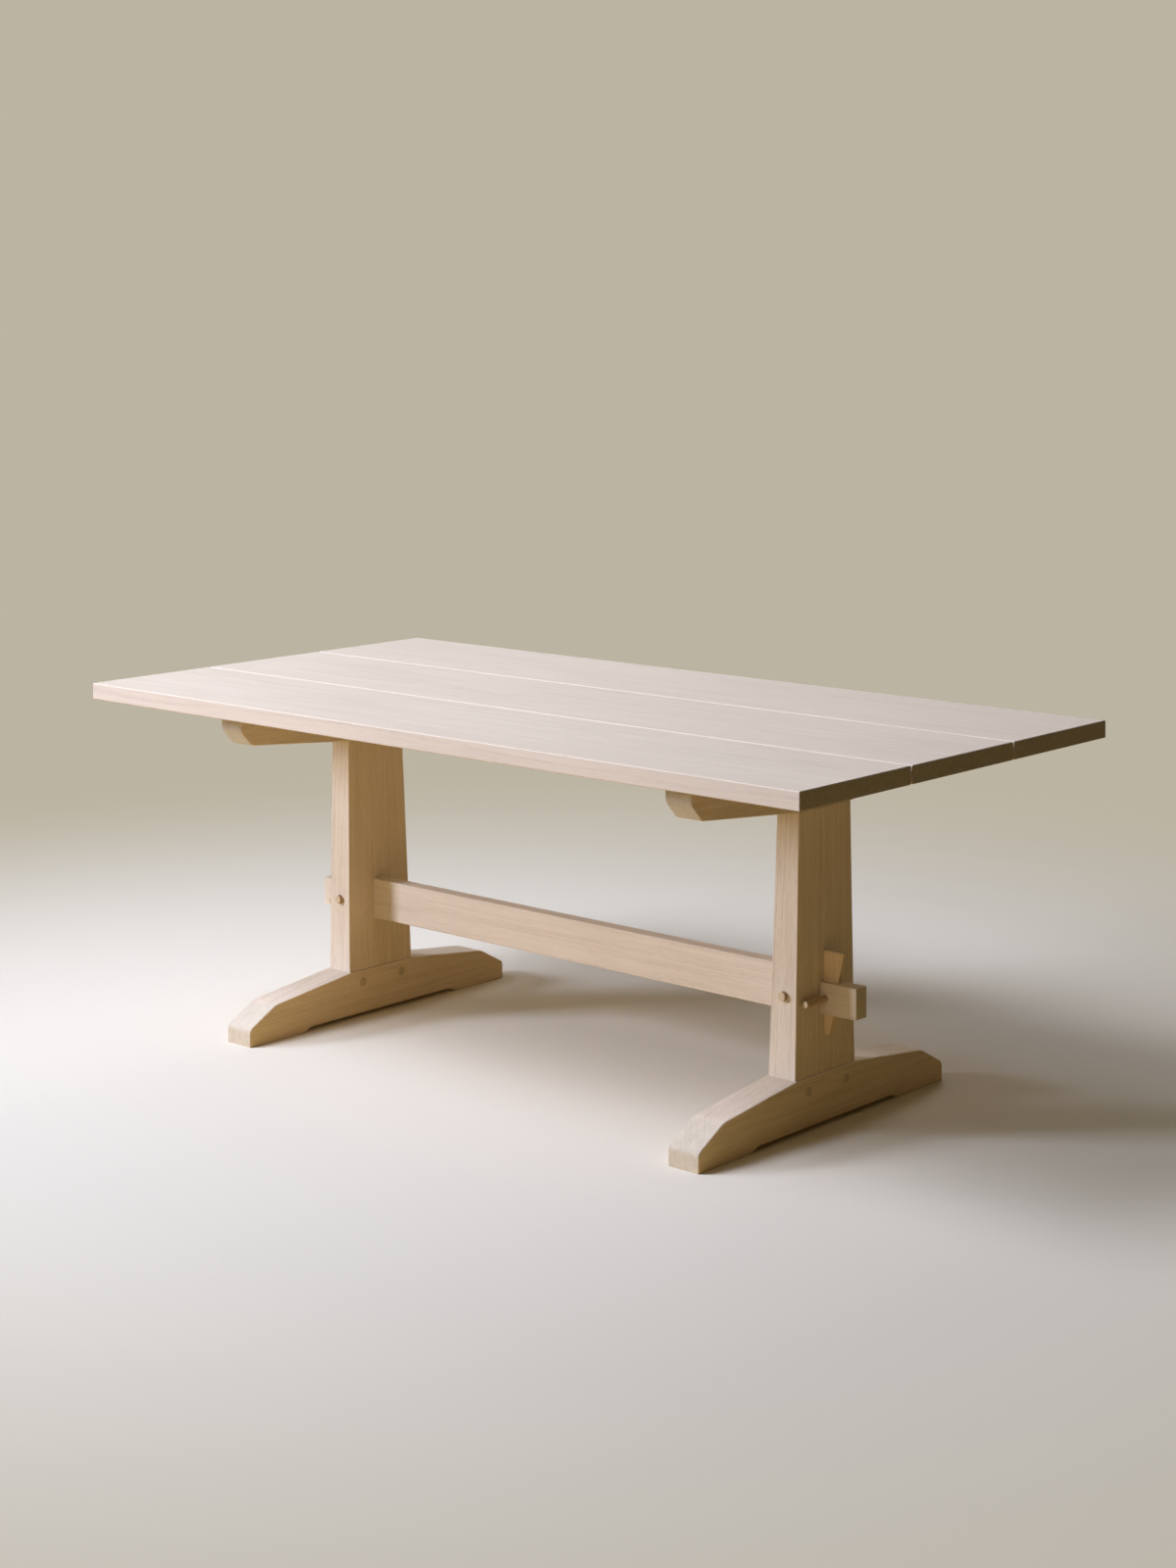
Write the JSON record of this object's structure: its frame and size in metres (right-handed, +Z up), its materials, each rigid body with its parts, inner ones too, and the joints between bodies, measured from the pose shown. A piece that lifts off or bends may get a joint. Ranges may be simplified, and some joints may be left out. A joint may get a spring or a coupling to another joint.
{
  "type": "trestle dining table",
  "caption": "Long solid wood dining table: boards with open gaps on tapered post trestles, joined by a low stretcher with wedged and pinned through tenons",
  "frame": {"origin": "on the floor under the middle of the top", "axes": "X along the table to the right end, Y across it to the back, Z up"},
  "size_m": [1.9, 0.97, 0.74],
  "materials": {
    "top_wood": "pale soaped oak, fine straight grain",
    "frame_wood": "pale soaped oak, a little warmer",
    "peg_wood": "turned oak, soaped",
    "zinc_steel": "bright zinc"
  },
  "bodies": {
    "table": {"front_board": "top_wood", "middle_board": "top_wood", "back_board": "top_wood", "stretcher": "frame_wood", "left_bearer": "frame_wood", "left_post": "frame_wood", "left_foot": "frame_wood", "left_stretcher_peg": "peg_wood", "left_foot_pegs": "peg_wood", "left_bearer_peg": "peg_wood", "left_bearer_screws": "zinc_steel", "right_bearer": "frame_wood", "right_post": "frame_wood", "right_foot": "frame_wood", "right_stretcher_peg": "peg_wood", "right_foot_pegs": "peg_wood", "right_bearer_peg": "peg_wood", "right_bearer_screws": "zinc_steel"},
    "left_wedge_body": {"left_wedge": "frame_wood"},
    "left_pin_body": {"left_wedge_pin": "peg_wood"},
    "right_wedge_body": {"right_wedge": "frame_wood"},
    "right_pin_body": {"right_wedge_pin": "peg_wood"}
  },
  "joints": [
    {"name": "left_wedge_lift", "type": "slide", "parent": "table", "child": "left_wedge_body", "axis": [0, 0, 1], "range_m": [0, 0.012]},
    {"name": "left_pin_draw", "type": "slide", "parent": "table", "child": "left_pin_body", "axis": [0, -1, 0], "range_m": [0, 0.04]},
    {"name": "right_wedge_lift", "type": "slide", "parent": "table", "child": "right_wedge_body", "axis": [0, 0, 1], "range_m": [0, 0.012]},
    {"name": "right_pin_draw", "type": "slide", "parent": "table", "child": "right_pin_body", "axis": [0, -1, 0], "range_m": [0, 0.04]}
  ]
}
